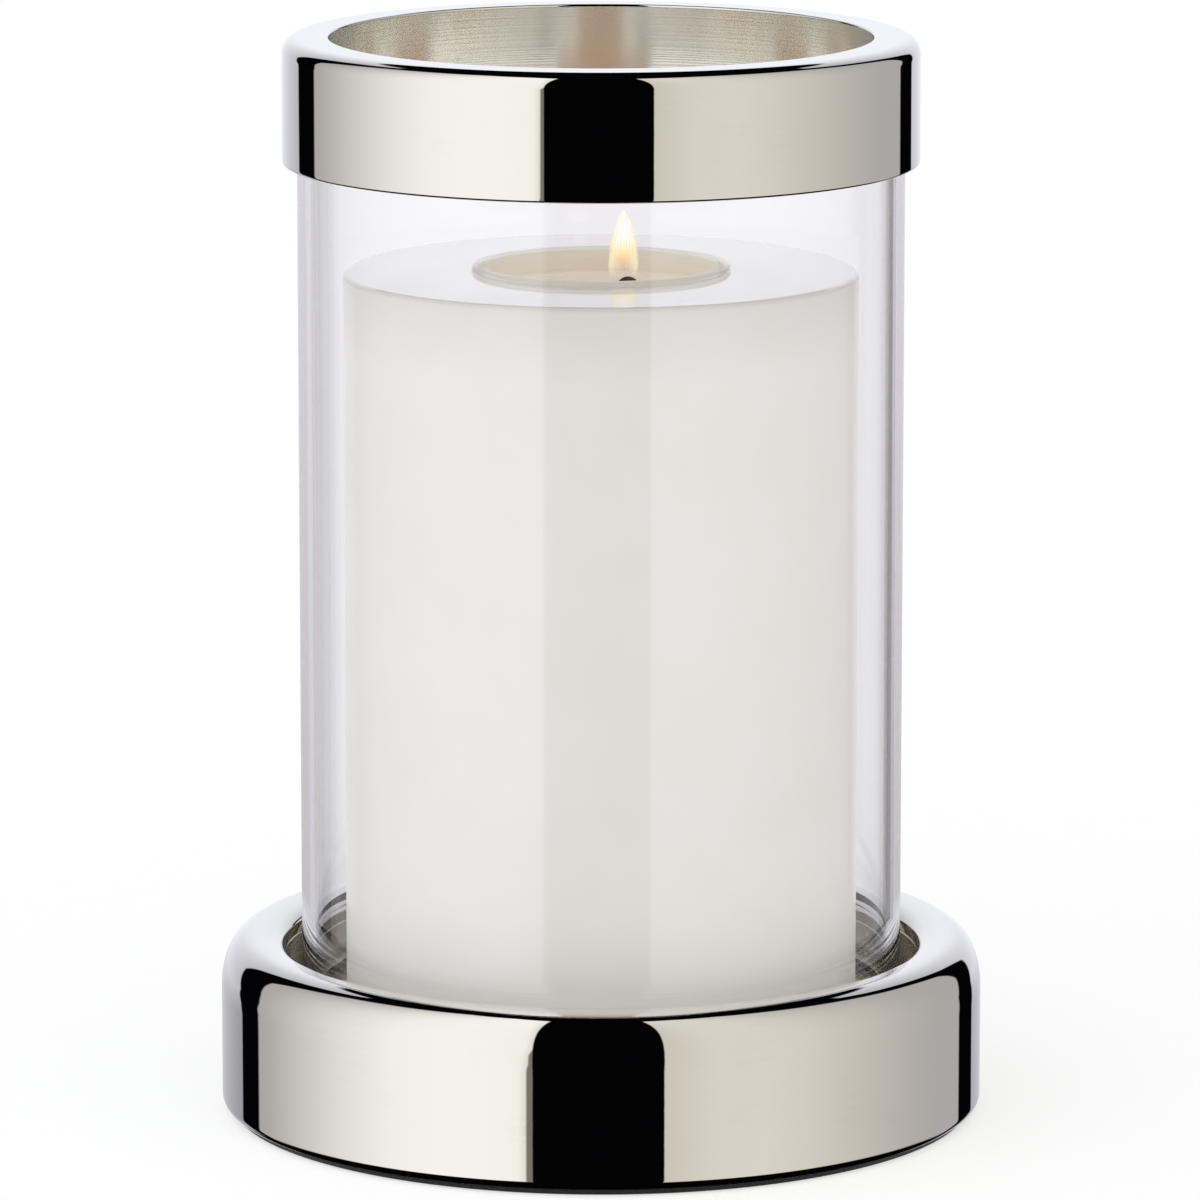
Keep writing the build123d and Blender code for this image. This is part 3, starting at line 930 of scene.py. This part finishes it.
# %% World: directions
world = bpy.data.worlds.new("studio")
bpy.context.scene.world = world
world.use_nodes = True
room = world.node_tree
room.nodes.clear()
direction = add(room, "ShaderNodeSeparateXYZ",
                {0: add(room, "ShaderNodeTexCoord").outputs["Generated"]}).outputs
across, away, up = direction[0], direction[1], direction[2]
# turn is the azimuth from the front to either side, and elevation is above the horizon, in degrees
azimuth = calc(room, "ARCTAN2", across, calc(room, "MULTIPLY", away, -1.0))
turn = calc(room, "ABSOLUTE", calc(room, "MULTIPLY", azimuth, 180 / pi))
elevation = calc(room, "MULTIPLY", calc(room, "ARCSINE", up), 180 / pi)
level = calc(room, "SQRT", calc(room, "SUBTRACT", 1.0, calc(room, "MULTIPLY", up, up)))


def inside(distance, soft):
    """1 where distance is below 0 and 0 above, with a soft edge."""
    return remap(room, distance, calc(room, "MULTIPLY", soft, -1.0), soft, 1.0, 0.0, smooth=True)


def below(value, limit, soft):
    """1 where value is below limit and 0 above, with a soft edge."""
    return inside(calc(room, "SUBTRACT", value, limit), soft)


# %% World: where the panels end
# The two panels lean together over the lantern and leave a slot. It is a little left of the middle,
# and half of it is slot_least + slot_spread cos(elevation) wide.
slot_shift, slot_least, slot_spread, slot_soft = 0.0125, 0.09, 0.2435, 0.004
slot_centre = calc(room, "ADD", across, slot_shift)
slot_half = calc(room, "ADD", calc(room, "MULTIPLY", level, slot_spread), slot_least)
left_front = inside(calc(room, "ADD", slot_half, slot_centre), slot_soft)
right_front = below(slot_half, slot_centre, slot_soft)
# Behind, each ends at an azimuth that changes with the elevation, and comes round to the front near
# the top.
border_low, border_high = -20, 90          # elevations that a border covers


def border(stops):
    """A border's azimuth as a share of 180 degrees, from stops of (elevation, azimuth)."""
    places = [((at - border_low) / (border_high - border_low), (turned / 180,) * 3)
              for at, turned in stops]
    return ramp(room, remap(room, elevation, border_low, border_high), places)


def degrees_of(share):
    """A share of 180 degrees back in degrees."""
    return calc(room, "MULTIPLY", share, 180.0)


fade = remap(room, elevation, 25.0, 60.0, 0.7, 4.0)
left_end = degrees_of(border([
    (-20, 127), (-13.5, 127), (-10, 125.7), (-7, 125.7), (-3, 124.4), (3, 124.6), (12, 126.5),
    (20, 128), (32, 124.5), (46, 120), (54, 115), (62, 107), (69, 100), (75, 75), (79, 0)]))
right_end = degrees_of(border([
    (-20, 140), (-13.5, 139), (-7, 136.5), (5, 138), (20, 135), (30, 128.7), (40, 121),
    (52, 112.5), (64, 100), (71, 87), (76, 60), (79, 0)]))
left_panel = calc(room, "MULTIPLY", left_front, below(turn, left_end, fade))
right_panel = calc(room, "MULTIPLY", right_front, below(turn, right_end, fade))
# The backdrop stands behind them, with a black gap on each side, and its top falls towards the middle.
right_side = calc(room, "GREATER_THAN", across, 0.0)
behind_start = degrees_of(blend_colours(
    room, right_side,
    border([(-20, 140), (-13.5, 140), (-10, 139.3), (-7, 140.3), (-4, 139.6), (0, 141), (10, 143.8),
            (20, 142.5), (30, 140), (46, 136)]),
    border([(-20, 153.5), (-13.5, 153), (-7, 150), (8, 151), (15, 147), (22, 142.5), (30, 138.7),
            (45, 132)])))
behind_top = remap(room, turn, 180.0, 140.0, 26.0, 50.0)
behind = calc(room, "MULTIPLY", below(behind_start, turn, 0.7), below(elevation, behind_top, 1.0))

# %% World: what the panels look like
BRIGHT = 1.25                  # the brightest panel, as a share of plain white


def panel_colours(value, first, last, stops):
    """Colours along a panel, from stops of (value, red, green, blue) as shares of plain white."""
    places = [((at - first) / (last - first), [light / BRIGHT for light in lights])
              for at, *lights in stops]
    return ramp(room, remap(room, value, first, last), places)


left_look = panel_colours(turn, 18, 138, [
    (18, 1.10, 1.09, 1.04), (26, 1.14, 1.13, 1.08), (35, 1.17, 1.16, 1.13), (50, 1.17, 1.16, 1.14),
    (65, 1.13, 1.12, 1.09), (80, 1.00, 0.99, 0.96), (95, 0.82, 0.81, 0.78), (110, 0.64, 0.63, 0.61),
    (120, 0.53, 0.52, 0.51), (138, 0.44, 0.43, 0.43)])
# A dim strip runs down the left panel's edge, and gets wider lower down.
past_slot = calc(room, "MULTIPLY", calc(room, "ADD", slot_half, slot_centre), -1.0)
strip_place = calc(room, "SUBTRACT", past_slot,
                   border([(-20, 5.4), (-14, 5.4), (-7, 3.6), (3, 3.2), (12, 0)]))
strip = ramp(room, remap(room, strip_place, -0.01, 0.05),
             [(0.0, (0.21, 0.20, 0.175)), (0.10, (0.21, 0.20, 0.175)), (0.24, (0.84, 0.84, 0.83)),
              (0.80, (1, 1, 1)), (1.0, (1, 1, 1))])
left_look = add(room, "ShaderNodeMix", {0: 1.0, 6: left_look, 7: strip}, data_type="RGBA",
                blend_type="MULTIPLY").outputs[2]
right_look = panel_colours(turn, 18, 138, [
    (18, 0.74, 0.71, 0.62), (26, 0.80, 0.77, 0.69), (35, 0.86, 0.83, 0.76), (50, 0.87, 0.84, 0.77),
    (65, 0.80, 0.78, 0.71), (80, 0.72, 0.69, 0.63), (95, 0.63, 0.61, 0.57), (110, 0.55, 0.53, 0.51),
    (120, 0.51, 0.50, 0.49), (138, 0.49, 0.48, 0.49)])
behind_look = panel_colours(turn, 140, 180, [
    (140, 0.60, 0.60, 0.66), (150, 0.72, 0.72, 0.79), (160, 0.83, 0.84, 0.92), (170, 0.95, 0.97, 1.05),
    (180, 1.00, 1.02, 1.10)])
behind_look = blend_colours(room, remap(room, elevation, -14.0, -6.0, 0.36, 0.0),
                            behind_look, (0, 0, 0, 1))
DARK = (0.001, 0.001, 0.0015, 1)
seen = blend_colours(room, behind, DARK, behind_look)
seen = blend_colours(room, left_panel, seen, left_look)
seen = blend_colours(room, right_panel, seen, right_look)
seen = blend_colours(room, remap(room, elevation, -30.0, -24.0), DARK, seen)

# %% World: who sees what
path = add(room, "ShaderNodeLightPath").outputs
studio_shade = add(room, "ShaderNodeBackground", {0: seen, 1: BRIGHT})
soft_light = blend_colours(room, remap(room, across, -1.0, 1.0),
                           (1.08, 1.11, 1.15, 1), (0.76, 0.745, 0.72, 1))
soft_level = remap(room, away, -1.0, 1.0, 1.08, 0.52)
soft_shade = add(room, "ShaderNodeBackground", {0: soft_light, 1: soft_level})
matt = calc(room, "MAXIMUM", path["Is Diffuse Ray"],
            calc(room, "GREATER_THAN", path["Diffuse Depth"], 0.5))
# What is seen straight through the glass is mostly plain white. A mirrored ray that then leaves
# through the glass still sees the studio, and between the panels it sees a dim warm room.
mirrored = calc(room, "GREATER_THAN", path["Glossy Depth"], 0.5)
in_slot = calc(room, "SUBTRACT", 1.0, calc(room, "ADD", left_front, right_front, clamp=True))
twice = calc(room, "GREATER_THAN", path["Glossy Depth"], 1.5)
low_or_near = calc(room, "MAXIMUM", calc(room, "MULTIPLY", twice, remap(room, elevation, 0.0, -3.0)),
                   remap(room, away, -0.1, -0.2))
warm = calc(room, "MULTIPLY", calc(room, "MULTIPLY", mirrored, in_slot), low_or_near)
plain_share = calc(room, "SUBTRACT", 0.75, calc(room, "MULTIPLY", mirrored, 0.40))
through = calc(room, "MULTIPLY", path["Is Transmission Ray"],
               calc(room, "MAXIMUM", warm, plain_share))
plain = calc(room, "MAXIMUM", path["Is Camera Ray"], through)
plain_look = blend_colours(room, warm, (1, 1, 1, 1), (0.42, 0.20, 0.08, 1))
white_shade = add(room, "ShaderNodeBackground", {0: plain_look, 1: 1.0})
shade = add(room, "ShaderNodeMixShader", {0: matt, 1: studio_shade.outputs[0], 2: soft_shade.outputs[0]})
shade = add(room, "ShaderNodeMixShader", {0: plain, 1: shade.outputs[0], 2: white_shade.outputs[0]})
room.links.new(shade.outputs[0], add(room, "ShaderNodeOutputWorld").inputs[0])

# %% Camera
camera_distance = 1.4779
camera_height = 0.3724
camera_tilt = 10.65            # degrees below the horizon
camera = bpy.data.objects.new("camera", bpy.data.cameras.new("camera"))
camera.data.lens = 246.3
camera.data.sensor_width = 36
camera.location = (-0.0002, -camera_distance, camera_height)
camera.rotation_euler = (radians(90 - camera_tilt), 0, 0)
bpy.context.scene.collection.objects.link(camera)
bpy.context.scene.camera = camera
bpy.context.scene.view_settings.view_transform = "Standard"
